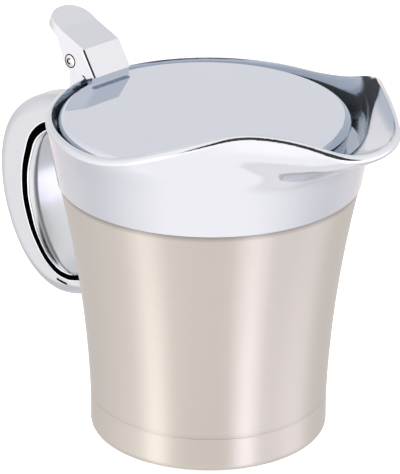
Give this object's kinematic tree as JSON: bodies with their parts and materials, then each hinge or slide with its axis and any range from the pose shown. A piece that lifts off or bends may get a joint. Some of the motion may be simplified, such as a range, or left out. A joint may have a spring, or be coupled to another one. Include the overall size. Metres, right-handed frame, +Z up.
{
  "type": "insulated gravy jug",
  "caption": "Double-wall steel jug with flared body, plated collar with wavy rim and pouring spout, loop handle, and hinged lid raised by a thumb lever.",
  "frame": {"origin": "centre of the base ring, on the plane that the jug stands on", "axes": "+Z up along the body's axis; +X towards the spout's tip; -X towards the handle and the lid's hinge"},
  "size_m": [0.1734, 0.1092, 0.1311],
  "materials": {
    "brushed_body": "brushed upright, satin",
    "steel_inside": "fine satin",
    "collar_chrome": "bright plated plastic",
    "handle_chrome": "bright plated plastic",
    "pin_steel": "polished",
    "lid_chrome": "bright plated plastic",
    "lid_plastic": "moulded",
    "lever_chrome": "bright plated plastic"
  },
  "bodies": {
    "jug": {"base_cup": "brushed_body", "outer_shell": "brushed_body", "inner_liner": "steel_inside", "collar": "collar_chrome", "handle": "handle_chrome", "hinge_pin": "pin_steel"},
    "lid": {"lid_cover": "lid_chrome", "lid_core": "lid_plastic", "thumb_lever": "lever_chrome"}
  },
  "joints": [
    {"name": "lid_hinge", "type": "hinge", "parent": "jug", "child": "lid", "pos_m": [-0.0584, 0, 0.117], "axis": [0, -1, 0], "range_deg": [0, 85]}
  ]
}
